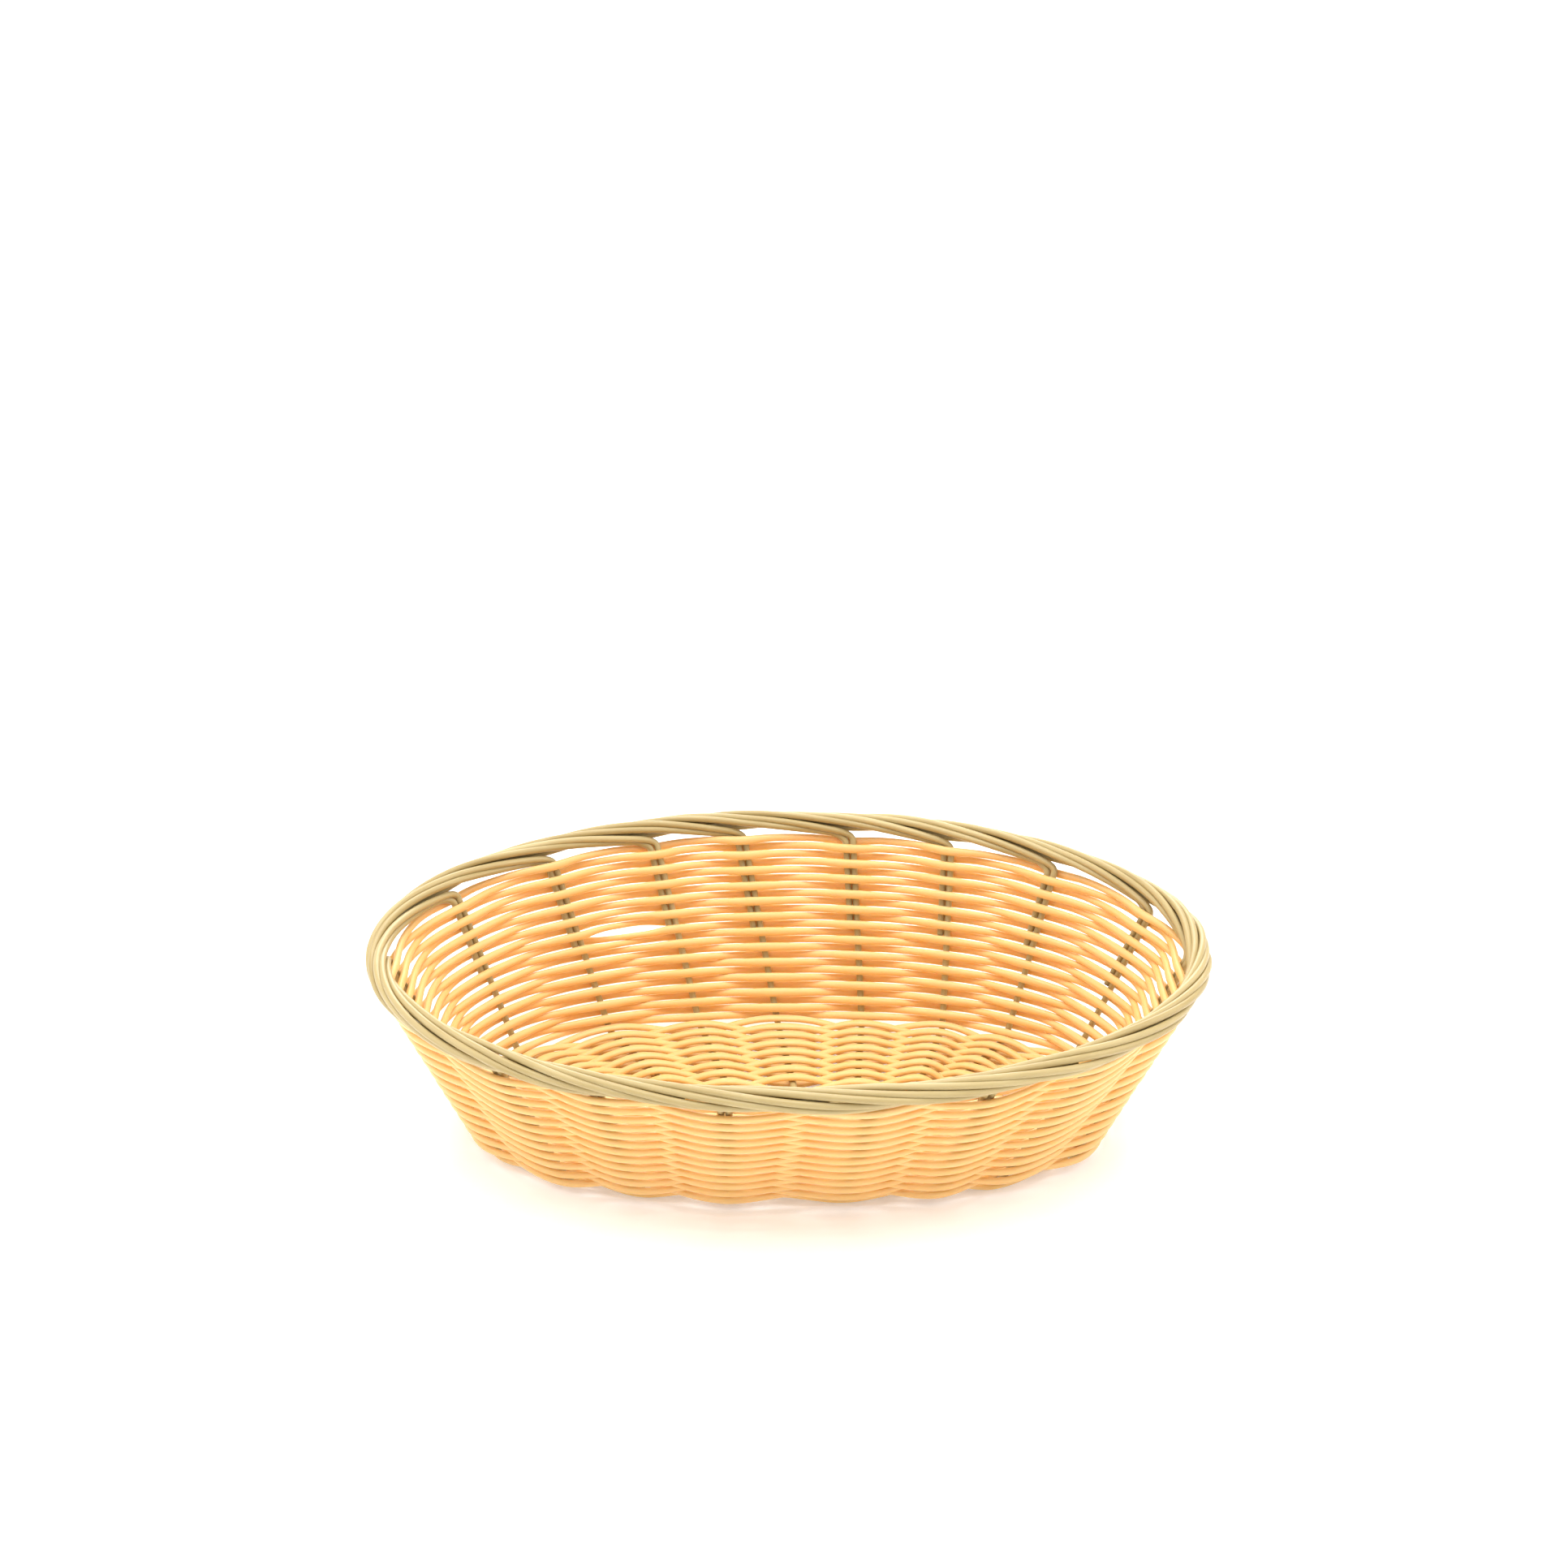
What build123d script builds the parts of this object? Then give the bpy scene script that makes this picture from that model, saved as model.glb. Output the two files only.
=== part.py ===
from build123d import *
from math import copysign, cos, radians, sin, sqrt, tan
import os

# Oval bread basket, hand woven from round plastic cane: floor, flared wall and a rolled border.
#
# Millimetres, +Z up. The origin is the middle of the footprint, on the surface that the basket
# stands on. +X runs along the basket and +Y towards its back.
#
# Nine stakes lie across and along the floor, bend up into the wall and end in the border, so each
# has two ends on the rim. Eighteen bye-stakes stand beside those ends. Each row of weaver is a
# ring that passes outside one stake and inside the next, and its two ends meet inside a stake.

# ---- overall sizes ---------------------------------------------------------------------------
RIM_LENGTH = 229.0  # over the outside of the border
RIM_WIDTH = 153.0
HEIGHT = 58.0
FLOOR_LENGTH = 176.0  # between the bends of the stakes, where the floor meets the wall
FLOOR_WIDTH = 87.0
FLOOR_FULLNESS = 2.5  # 2 is a plain ellipse, and more is squarer
RIM_FULLNESS = 2.0

# ---- strands and how close they lie ----------------------------------------------------------
STAKE_DIAMETER = 1.9
WEAVER_DIAMETER = 1.85
STRAND_GAP = 0.10  # where a weaver passes a stake
FLOOR_ROW_GAP = 0.27  # least clearance between neighbouring rows of the floor
WALL_ROW_GAP = 0.20  # least clearance between neighbouring rows of the wall
ROD_GAP = 0.15  # between rods that lie side by side, in the border, in a pair or on the spine
CROSSING_GAP = 0.30  # where a cross stake lies over the long stakes
ROW_JOINT = 0.20  # between the two ends of a row
FLOOR_CROWN = 0.4  # how much higher the floor's stakes lie at the spine

# ---- where the stakes stand ------------------------------------------------------------------
# Bearings in degrees round the oval, from +X towards +Y, one for each end of a stake.
RIM_BEARINGS = (0, 21, 45, 64, 80, 97, 111, 129, 150, 180, 201, 226, 243, 261, 280, 297, 316, 340)
FLOOR_BEARINGS = (0, 24, 48, 64, 80, 91, 103, 122, 150, 180, 206, 232, 248, 263, 276, 291, 305, 330)
# Back end, front end and where the stake crosses the spine.
CROSS_STAKES = ((3, 16, 35.0), (4, 15, 19.0), (5, 14, 2.0), (6, 13, -16.0), (7, 12, -31.0))
# Right end and left end, from the front of the spine to its back.
LONG_STAKES = ((17, 11), (0, 10), (1, 9), (2, 8))
SPINE_END = 43.0  # where the long stakes begin to fan out
BYE_STAKE_ROWS = 12  # rows of the wall that a bye-stake is pushed down through
BYE_STAKE_FOOT = 0.5  # row spacings from the lowest of those rows down to its foot

# ---- weave -----------------------------------------------------------------------------------
SPINE_TO_FIRST_ROW = 5.3  # all round, from the spine's middle line
ROWS_ROUND_BUNDLE = 7  # inner rows that take the four long stakes of an end as one
LAST_ROW_TO_BEND = 1.6  # from the floor's last row to the bend of the stakes
BEND_TO_WALL_ROW = 2.0  # from the bend up to the first row of the wall
PASS_SHARE = 0.38  # of the way to the middle between stakes, over which a weaver runs past a stake
ROW_ENDS_AT = 13  # the front stake end, or the next one, inside which a row's two ends meet

# ---- bends -----------------------------------------------------------------------------------
STAKE_BEND = 3.0
WEAVER_BEND = 12.0
BORDER_BEND = 20.0
LARGEST_BEND_SHARE = 0.45  # of the shorter run beside a corner, taken up by its bend
STRAIGHTEST_TURN = 0.6  # degrees; a smaller turn is left out of a path

# ---- border ----------------------------------------------------------------------------------
BORDER_SLOTS = 8  # rods side by side round the border's section
SLOTS_PER_INTERVAL = 2  # that a rod moves round by, as each stake end brings in two rods
BORDER_INTERVALS = 3.2  # stake intervals that a rod runs in the border
BORDER_STEPS = 4  # points of a rod for each interval
BORDER_OFFSET = 2.0  # of the border's middle outside the stakes' line
BORDER_TAKE_UP = 3.6  # along the rim, over which a rod bends from the wall into the border
STAKE_TURNS_AT = 0.4  # above the top of the wall, along the stake
BYE_STAKE_TURNS_AT = -0.6

AMPLITUDE = (STAKE_DIAMETER + WEAVER_DIAMETER) / 2 + STRAND_GAP
PAIR_SPACING = STAKE_DIAMETER + ROD_GAP
SLOT_ANGLE = 360 / BORDER_SLOTS
BORDER_RADIUS = PAIR_SPACING / (2 * sin(radians(SLOT_ANGLE / 2)))
BORDER_REACH = BORDER_RADIUS + STAKE_DIAMETER / 2
BORDER_HEIGHT = HEIGHT - BORDER_REACH
FLOOR_HEIGHT = AMPLITUDE + WEAVER_DIAMETER / 2
WALL_TOP = BORDER_HEIGHT - BORDER_REACH
SPINE_HEIGHT = FLOOR_HEIGHT + FLOOR_CROWN
CROSSING_HEIGHT = SPINE_HEIGHT + STAKE_DIAMETER + CROSSING_GAP
TOP_LENGTH = RIM_LENGTH - 2 * (BORDER_OFFSET + BORDER_REACH)
TOP_WIDTH = RIM_WIDTH - 2 * (BORDER_OFFSET + BORDER_REACH)
TOP_ROW_TO_TOP = WEAVER_DIAMETER / 2 + WALL_ROW_GAP
STAKE_ENDS = len(RIM_BEARINGS)


# ---- the oval and the lines that the stakes follow -------------------------------------------
def on_oval(length, width, fullness, bearing, height):
    """A point on an oval at a bearing."""
    c, s = cos(radians(bearing)), sin(radians(bearing))
    x = copysign(abs(c) ** (2 / fullness), c) * length / 2
    y = copysign(abs(s) ** (2 / fullness), s) * width / 2
    return Vector(x, y, height)


def at_position(bearings, position):
    """The bearing at a place counted in stake intervals, which may fall between two stakes."""
    whole = int(position // 1)
    turns, here = divmod(whole, STAKE_ENDS)
    following, next_end = divmod(whole + 1, STAKE_ENDS)
    low = bearings[here] + 360 * turns
    high = bearings[next_end] + 360 * following
    return low + (high - low) * (position - whole)


def to_first_row(root, bend):
    """How far along the line from root to bend the floor's first row lies."""
    way = (bend - root).normalized()
    beside_spine = (SPINE_TO_FIRST_ROW - abs(root.Y)) / abs(way.Y) if way.Y else float("inf")
    if abs(root.X + way.X * beside_spine) <= SPINE_END:
        return beside_spine
    from_end = Vector(root.X - copysign(SPINE_END, way.X), root.Y, 0)
    nearer = from_end.dot(way)
    return sqrt(nearer**2 - from_end.length**2 + SPINE_TO_FIRST_ROW**2) - nearer


class StakeLine:
    """The line up the basket at one place round it: spine, bend at the floor's edge, wall top."""

    def __init__(self, position, root):
        self.root = root
        floor_bearing = at_position(FLOOR_BEARINGS, position)
        rim_bearing = at_position(RIM_BEARINGS, position)
        self.bend = on_oval(FLOOR_LENGTH, FLOOR_WIDTH, FLOOR_FULLNESS, floor_bearing, FLOOR_HEIGHT)
        self.top = on_oval(TOP_LENGTH, TOP_WIDTH, RIM_FULLNESS, rim_bearing, WALL_TOP)
        self.first_row = to_first_row(root, self.bend)

    def floor_run(self):
        """How far the floor's rows reach along this line."""
        return (self.bend - self.root).length - self.first_row - LAST_ROW_TO_BEND

    def wall_run(self):
        """How far the wall's rows reach along this line."""
        return (self.top - self.bend).length - BEND_TO_WALL_ROW - TOP_ROW_TO_TOP

    def on_floor(self, share):
        """The middle of a floor row, with share 0 at the first row and 1 at the last."""
        along = (self.bend - self.root).normalized()
        return self.root + along * (self.first_row + share * self.floor_run())

    def on_wall(self, share):
        """The middle of a wall row, with share 0 at the first row and 1 at the last."""
        along = (self.top - self.bend).normalized()
        return self.bend + along * (BEND_TO_WALL_ROW + share * self.wall_run())


def stake_roots():
    """Each stake end's place on the spine."""
    roots = {}
    for back, front, crossing in CROSS_STAKES:
        roots[back] = roots[front] = Vector(crossing, 0, CROSSING_HEIGHT)
    for number, (right, left) in enumerate(LONG_STAKES):
        across = (number - (len(LONG_STAKES) - 1) / 2) * PAIR_SPACING
        roots[right] = Vector(SPINE_END, across, SPINE_HEIGHT)
        roots[left] = Vector(-SPINE_END, across, SPINE_HEIGHT)
    return roots


ROOTS = stake_roots()
LINES = [StakeLine(end, ROOTS[end]) for end in range(STAKE_ENDS)]
# Half-way between each stake end and the next.
MIDDLES = [
    StakeLine(end + 0.5, (ROOTS[end] + ROOTS[(end + 1) % STAKE_ENDS]) / 2)
    for end in range(STAKE_ENDS)
]
# From each stake end to its bye-stake.
BESIDE = [
    (MIDDLES[end].top - MIDDLES[end - 1].top).normalized() * PAIR_SPACING
    for end in range(STAKE_ENDS)
]

SHORTEST_FLOOR_RUN = min(line.floor_run() for line in LINES + MIDDLES)
SHORTEST_WALL_RUN = min(line.wall_run() for line in LINES + MIDDLES)
FLOOR_ROWS = int(SHORTEST_FLOOR_RUN / (WEAVER_DIAMETER + FLOOR_ROW_GAP)) + 1
WALL_ROWS = int(SHORTEST_WALL_RUN / (WEAVER_DIAMETER + WALL_ROW_GAP)) + 1


# ---- paths and rods --------------------------------------------------------------------------
def turn_at(before, here, after):
    """The angle in degrees that a path turns through at a point."""
    return (here - before).get_angle(after - here)


def without_straight_points(points):
    """The two ends of a path and the points at which it turns."""
    kept = [points[0]]
    for here, after in zip(points[1:-1], points[2:]):
        if turn_at(kept[-1], here, after) > STRAIGHTEST_TURN:
            kept.append(here)
    return [*kept, points[-1]]


def bend_radii(points, largest, tight):
    """A radius for each corner: the largest allowed, or less where the runs beside it are short."""
    radii = []
    for before, here, after in zip(points, points[1:], points[2:]):
        run = LARGEST_BEND_SHARE * min((here - before).length, (after - here).length)
        allowed = STAKE_BEND if here in tight else largest
        radii.append(min(allowed, run / tan(radians(turn_at(before, here, after) / 2))))
    return radii


def rod(name, points, diameter, largest_bend, tight=()):
    """A round rod along a path of straight runs joined by arcs, with tight bends at some points."""
    points = without_straight_points(points)
    with BuildPart() as strand:
        with BuildLine() as path:
            FilletPolyline(*points, radius=bend_radii(points, largest_bend, tight))
        with BuildSketch(Plane(origin=path.line @ 0, z_dir=path.line % 0)):
            Circle(diameter / 2)
        sweep()
    strand.part.label = name
    return strand.part


def write(name, *solids):
    """Write one node: a single rod, or several separate ones."""
    node = solids[0] if len(solids) == 1 else Compound(label=name, children=list(solids))
    node.label = name
    export_step(node, f"parts/{name}.step")
    print(name, len(solids), round(node.volume, 1))


# ---- weavers ---------------------------------------------------------------------------------
def crossing_number(end, row):
    """Which crossing of a row this stake end is. The inner rows take a fan of long stakes as one."""
    if row >= ROWS_ROUND_BUNDLE:
        return end
    right_fan = [right for right, left in LONG_STAKES]
    left_fan = [left for right, left in LONG_STAKES]
    if end in right_fan:
        return 0
    first_back = CROSS_STAKES[0][0]
    if end < min(left_fan):
        return end - first_back + 1
    if end in left_fan:
        return len(CROSS_STAKES) + 1
    return len(CROSS_STAKES) + 2 + end - min(front for back, front, crossing in CROSS_STAKES)


def side_of(end, row):
    """1 where the row passes outside the stake, or under it in the floor, and -1 inside."""
    return 1 if (crossing_number(end, row) + row) % 2 == 1 else -1


def pass_point(here, middle, out):
    """Where a weaver's run past a stake ends: part of the way to the middle, square to out."""
    way = (middle - here) * PASS_SHARE
    return here + way - out * way.dot(out)


def corners_at(end, row, spot, upward):
    """The corners of a row's path at a stake and in the middle of the space after it."""
    here, last_middle, next_middle = spot(LINES[end]), spot(MIDDLES[end - 1]), spot(MIDDLES[end])
    if row >= FLOOR_ROWS + WALL_ROWS - BYE_STAKE_ROWS:
        here += BESIDE[end] / 2
    side = side_of(end, row)
    out = (next_middle - last_middle).cross(upward(LINES[end])).normalized()
    offset = out * (AMPLITUDE * side)
    changes_before = side_of((end - 1) % STAKE_ENDS, row) != side
    changes_after = side_of((end + 1) % STAKE_ENDS, row) != side
    corners = []
    if changes_before:
        corners.append(pass_point(here, last_middle, out) + offset)
    if not (changes_before and changes_after):
        corners.append(here + offset)
    if changes_after:
        corners += [pass_point(here, next_middle, out) + offset, next_middle]
    return corners


def row_points(row, spot, upward):
    """A row's path. spot gives a line's point on the row, and upward gives a line's direction."""
    first = ROW_ENDS_AT if side_of(ROW_ENDS_AT, row) < 0 else ROW_ENDS_AT + 1
    corners = []
    for step in range(STAKE_ENDS):
        corners += corners_at((first + step) % STAKE_ENDS, row, spot, upward)
    joint = (corners[0] + corners[1]) / 2
    half_gap = (corners[1] - corners[0]).normalized() * (ROW_JOINT / 2)
    return [joint + half_gap, *corners[1:], corners[0], joint - half_gap]


def floor_row(row):
    """A row of weaver in the floor."""
    share = row / (FLOOR_ROWS - 1)
    points = row_points(row, lambda line: line.on_floor(share), lambda line: line.bend - line.root)
    return rod(f"floor_row_{row + 1:02d}", points, WEAVER_DIAMETER, WEAVER_BEND)


def wall_row(row):
    """A row of weaver in the wall. It carries on the floor's order of over and under."""
    share = row / (WALL_ROWS - 1)
    points = row_points(
        FLOOR_ROWS + row, lambda line: line.on_wall(share), lambda line: line.top - line.bend
    )
    return rod(f"wall_row_{row + 1:02d}", points, WEAVER_DIAMETER, WEAVER_BEND)


# ---- stakes, bye-stakes and the border -------------------------------------------------------
def on_border(position, start, first_angle):
    """A point of a rod in the border. It turns steadily round the section, from its first angle."""
    bearing = at_position(RIM_BEARINGS, position)
    rim = on_oval(TOP_LENGTH, TOP_WIDTH, RIM_FULLNESS, bearing, BORDER_HEIGHT)
    out = Vector(rim.X / TOP_LENGTH**2, rim.Y / TOP_WIDTH**2, 0).normalized()
    angle = radians(first_angle - SLOTS_PER_INTERVAL * SLOT_ANGLE * (position - start))
    across = BORDER_OFFSET + BORDER_RADIUS * cos(angle)
    return rim + out * across + Vector(0, 0, BORDER_RADIUS * sin(angle))


def border_points(end, is_bye_stake):
    """The path of a rod from the top of the wall to its end in the border."""
    line = LINES[end]
    interval = (LINES[(end + 1) % STAKE_ENDS].top - line.top).length
    beside = BESIDE[end] if is_bye_stake else Vector()
    first_angle = -180 + SLOT_ANGLE / 2 + (SLOT_ANGLE if is_bye_stake else 0.0)
    second = end + (beside.length + BORDER_TAKE_UP) / interval
    rise = BYE_STAKE_TURNS_AT if is_bye_stake else STAKE_TURNS_AT
    up = (line.top - line.bend).normalized()
    later = [end + step / BORDER_STEPS for step in range(1, int(BORDER_INTERVALS * BORDER_STEPS) + 1)]
    border = [on_border(position, end, first_angle) for position in [second, *later]]
    return [line.top + beside + up * rise, *border]


def end_points(end):
    """The path of one end of a stake, from the bend at the floor's edge."""
    return [LINES[end].bend, *border_points(end, False)]


def cross_stake(number, back, front):
    """A stake across the floor, from the border at the back to the border at the front."""
    points = [*reversed(end_points(back)), LINES[back].root, *end_points(front)]
    tight = (LINES[back].bend, LINES[back].root, LINES[front].bend)
    return rod(f"cross_stake_{number}", points, STAKE_DIAMETER, BORDER_BEND, tight)


def long_stake(number, right, left):
    """A stake along the spine, from the border at one end to the border at the other."""
    points = [*reversed(end_points(right)), LINES[right].root, LINES[left].root, *end_points(left)]
    tight = (LINES[right].bend, LINES[right].root, LINES[left].root, LINES[left].bend)
    return rod(f"long_stake_{number}", points, STAKE_DIAMETER, BORDER_BEND, tight)


def bye_stake(end):
    """A short rod beside a stake's end, from within the wall into the border."""
    line = LINES[end]
    foot = 1 - (BYE_STAKE_ROWS - 1 + BYE_STAKE_FOOT) / (WALL_ROWS - 1)
    points = [line.on_wall(foot) + BESIDE[end], *border_points(end, True)]
    return rod("bye_stake", points, STAKE_DIAMETER, BORDER_BEND)


def main():
    os.makedirs("parts", exist_ok=True)
    for row in range(FLOOR_ROWS):
        write(f"floor_row_{row + 1:02d}", floor_row(row))
    for row in range(WALL_ROWS):
        write(f"wall_row_{row + 1:02d}", wall_row(row))
    for number, (back, front, crossing) in enumerate(CROSS_STAKES):
        write(f"cross_stake_{number + 1}", cross_stake(number + 1, back, front))
    for number, (right, left) in enumerate(LONG_STAKES):
        write(f"long_stake_{number + 1}", long_stake(number + 1, right, left))
    sides = {
        "bye_stakes_back": [back for back, front, crossing in CROSS_STAKES],
        "bye_stakes_front": [front for back, front, crossing in CROSS_STAKES],
        "bye_stakes_right": [right for right, left in LONG_STAKES],
        "bye_stakes_left": [left for right, left in LONG_STAKES],
    }
    for name, ends in sides.items():
        write(name, *[bye_stake(end) for end in ends])


main()
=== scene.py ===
"""Looks for an oval bread basket, hand woven from round plastic cane.

The CAD model gives every strand as straight runs and arcs. Here each strand is drawn again as one
smooth rod on the same line, so each piece stands for the CAD node of the same strand. The weave's
lengths are millimetres. Those of the meshes, the finishes and the studio are metres.
"""

import logging
from dataclasses import dataclass, field
from enum import Enum
from functools import reduce
from math import cos, radians, sin

import bpy
import numpy as np
from mathutils import Matrix, Vector

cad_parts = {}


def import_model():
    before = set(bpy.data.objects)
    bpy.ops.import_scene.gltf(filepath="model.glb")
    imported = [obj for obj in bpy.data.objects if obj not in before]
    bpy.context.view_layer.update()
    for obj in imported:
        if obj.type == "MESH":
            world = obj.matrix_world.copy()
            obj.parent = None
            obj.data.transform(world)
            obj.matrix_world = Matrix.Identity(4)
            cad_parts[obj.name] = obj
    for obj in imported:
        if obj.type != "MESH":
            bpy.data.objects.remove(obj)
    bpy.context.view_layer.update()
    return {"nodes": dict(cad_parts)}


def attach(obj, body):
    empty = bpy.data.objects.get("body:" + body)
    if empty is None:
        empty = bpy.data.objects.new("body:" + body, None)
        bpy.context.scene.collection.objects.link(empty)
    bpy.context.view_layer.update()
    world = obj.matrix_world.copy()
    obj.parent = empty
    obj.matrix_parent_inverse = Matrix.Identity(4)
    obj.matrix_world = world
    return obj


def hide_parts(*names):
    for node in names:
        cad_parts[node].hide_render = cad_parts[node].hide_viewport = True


LOG = logging.getLogger("bread_basket")
MM = 0.001
BODY = "root"
LENGTHWISE = "lengthwise"
TINT = "tint"
Array = np.ndarray


class Zone(Enum):
    """The part of the basket that a row of weaver belongs to."""

    FLOOR = "floor"
    WALL = "wall"


class RodKind(Enum):
    """Whether an upright is a stake, which runs through the floor, or a bye-stake beside one."""

    STAKE = 0
    BYE_STAKE = 1


def unit(vectors: Array) -> Array:
    """Scale every vector of an array to length one.

    Args:
        vectors: Vectors along the last axis.

    Returns:
        The vectors, each divided by its own length.
    """
    return vectors / np.linalg.norm(vectors, axis=-1, keepdims=True)


def ease(share: Array) -> Array:
    """Go smoothly from 0 to 1, level at both ends: three squares less two cubes.

    Args:
        share: Values from 0 to 1.

    Returns:
        The eased values.
    """
    return share**2 * (3 - 2 * share)


@dataclass(frozen=True)
class Strands:
    """The cane that the basket is woven from, and how close its strands lie.

    Attributes:
        rod: Diameter of a stake or bye-stake.
        weaver: Diameter of a weaver.
        pass_gap: Clearance where a weaver passes a stake.
        row_gap: Clearance between the rows of the wall.
        rod_gap: Clearance between rods that lie side by side.
        crossing_gap: Clearance where a cross stake lies over the long stakes.
    """

    rod: float = 1.9
    weaver: float = 1.85
    pass_gap: float = 0.10
    row_gap: float = 0.20
    rod_gap: float = 0.15
    crossing_gap: float = 0.30

    @property
    def throw(self) -> float:
        """How far a weaver's middle line swings either side of the stakes' line."""
        return (self.rod + self.weaver) / 2 + self.pass_gap

    @property
    def pair(self) -> float:
        """Spacing of two rods that lie side by side."""
        return self.rod + self.rod_gap


@dataclass(frozen=True)
class Rope:
    """The border: the stakes' ends, twisted together round the rim.

    Attributes:
        slots: Rods side by side round the section.
        offset: How far the section's middle lies outside the stakes' line.
        take_up: Length along the rim over which a rod bends into the border.
        stake_turn: Height above the wall's top at which a stake starts to bend.
        bye_turn: The same for a bye-stake.
    """

    slots: int = 8
    offset: float = 2.0
    take_up: float = 3.6
    stake_turn: float = 0.4
    bye_turn: float = -0.6

    @property
    def slot_angle(self) -> float:
        """Angle between neighbouring rods of the section, in radians."""
        return radians(360 / self.slots)

    def radius(self, strands: Strands) -> float:
        """Radius of the circle that the rods' middle lines lie on: half the pair over a sine.

        Args:
            strands: The cane that the border is twisted from.

        Returns:
            The radius.
        """
        return strands.pair / (2 * sin(self.slot_angle / 2))

    def reach(self, strands: Strands) -> float:
        """Distance from the section's middle to the outside of its rods.

        Args:
            strands: The cane that the border is twisted from.

        Returns:
            The distance.
        """
        return self.radius(strands) + strands.rod / 2


@dataclass(frozen=True)
class Form:
    """The basket's shape: two ovals, the stakes' lines between them, and the rows on those lines.

    A place round the basket is counted in stake intervals, so a whole number is a stake end.

    Attributes:
        rim: Length and width of the basket over the border.
        height: Height of the basket.
        floor: Length and width of the oval where the floor turns up into the wall.
        floor_fullness: Fullness of that oval: 2 for an ellipse, more for a squarer one.
        rim_fullness: Fullness of the oval under the border.
        crown: How much higher the stakes lie at the spine than at the floor's edge.
        spine_end: Half the length of the floor's spine.
        first_row: Distance from the spine to the first row.
        bundle_rows: Floor rows that take a fan of long stakes as one.
        floor_rows: Rows in the floor.
        wall_rows: Rows in the wall.
        bye_rows: Rows at the top of the wall that the bye-stakes run through.
        last_to_bend: From the floor's last row to the bend.
        bend_to_wall: From the bend to the wall's first row.
        rim_bearings: Bearing of each stake end on the oval under the border, in degrees.
        floor_bearings: Bearing of each stake end on the floor's oval, in degrees.
        cross: For each cross stake, its back and front ends and where it crosses the spine.
        long: For each long stake, its right and left ends.
        strands: The cane.
        rope: The border.
    """

    rim: tuple[float, float] = (229.0, 153.0)
    height: float = 58.0
    floor: tuple[float, float] = (176.0, 87.0)
    floor_fullness: float = 2.5
    rim_fullness: float = 2.0
    crown: float = 0.4
    spine_end: float = 43.0
    first_row: float = 5.3
    bundle_rows: int = 7
    floor_rows: int = 16
    wall_rows: int = 24
    bye_rows: int = 12
    last_to_bend: float = 1.6
    bend_to_wall: float = 2.0
    rim_bearings: tuple[float, ...] = (
        0, 21, 45, 64, 80, 97, 111, 129, 150, 180, 201, 226, 243, 261, 280, 297, 316, 340)
    floor_bearings: tuple[float, ...] = (
        0, 24, 48, 64, 80, 91, 103, 122, 150, 180, 206, 232, 248, 263, 276, 291, 305, 330)
    cross: tuple[tuple[int, int, float], ...] = (
        (3, 16, 35.0), (4, 15, 19.0), (5, 14, 2.0), (6, 13, -16.0), (7, 12, -31.0))
    long: tuple[tuple[int, int], ...] = ((17, 11), (0, 10), (1, 9), (2, 8))
    strands: Strands = field(default_factory=Strands)
    rope: Rope = field(default_factory=Rope)

    @property
    def ends(self) -> int:
        """Number of stake ends round the rim."""
        return len(self.rim_bearings)

    @property
    def level(self) -> float:
        """Height of the stakes' middle lines in the floor."""
        return self.strands.throw + self.strands.weaver / 2

    @property
    def border_height(self) -> float:
        """Height of the middle of the border's section."""
        return self.height - self.rope.reach(self.strands)

    @property
    def wall_top(self) -> float:
        """Height at which the woven wall ends and the border begins."""
        return self.border_height - self.rope.reach(self.strands)

    @property
    def top(self) -> tuple[float, float]:
        """Length and width of the oval that the stakes' lines end on."""
        inset = 2 * (self.rope.offset + self.rope.reach(self.strands))
        return self.rim[0] - inset, self.rim[1] - inset

    def bearing(self, table: tuple[float, ...], place: Array) -> Array:
        """Bearing at a place, even between one stake end and the next.

        Args:
            table: Bearings of the stake ends, in degrees.
            place: Places in stake intervals.

        Returns:
            Bearings in radians.
        """
        known = np.append(table, table[0] + 360.0)
        return np.radians(np.interp(place % self.ends, np.arange(self.ends + 1), known))

    def oval(self, size: tuple[float, float], fullness: float, angle: Array, height: float) -> Array:
        """Points of an oval: cosine and sine, each to the power of two over fullness.

        Args:
            size: Length and width of the oval.
            fullness: 2 for an ellipse, and more for a squarer oval.
            angle: Bearings in radians.
            height: Height of the oval.

        Returns:
            Points, one for each bearing.
        """
        flat = np.stack((np.cos(angle), np.sin(angle)), axis=-1)
        powered = np.sign(flat) * np.abs(flat) ** (2 / fullness) * np.array(size) / 2
        return np.concatenate((powered, np.full((*angle.shape, 1), height)), axis=-1)

    def bend(self, place: Array) -> Array:
        """Points where the floor turns up into the wall.

        Args:
            place: Places round the basket, in stake intervals.

        Returns:
            Points, one for each place.
        """
        angle = self.bearing(self.floor_bearings, place)
        return self.oval(self.floor, self.floor_fullness, angle, self.level)

    def rim_point(self, place: Array) -> Array:
        """Points where the wall meets the border.

        Args:
            place: Places round the basket, in stake intervals.

        Returns:
            Points, one for each place.
        """
        angle = self.bearing(self.rim_bearings, place)
        return self.oval(self.top, self.rim_fullness, angle, self.wall_top)

    def roots(self) -> Array:
        """Where each stake end starts, on the spine of the floor.

        Returns:
            One point for each stake end, in order round the basket.
        """
        spine = self.level + self.crown
        crossing = spine + self.strands.rod + self.strands.crossing_gap
        table = np.zeros((self.ends, 3))
        for back, front, along in self.cross:
            table[[back, front]] = (along, 0.0, crossing)
        for number, (right, left) in enumerate(self.long):
            across = (number - (len(self.long) - 1) / 2) * self.strands.pair
            table[right] = (self.spine_end, across, spine)
            table[left] = (-self.spine_end, across, spine)
        return table

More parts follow.
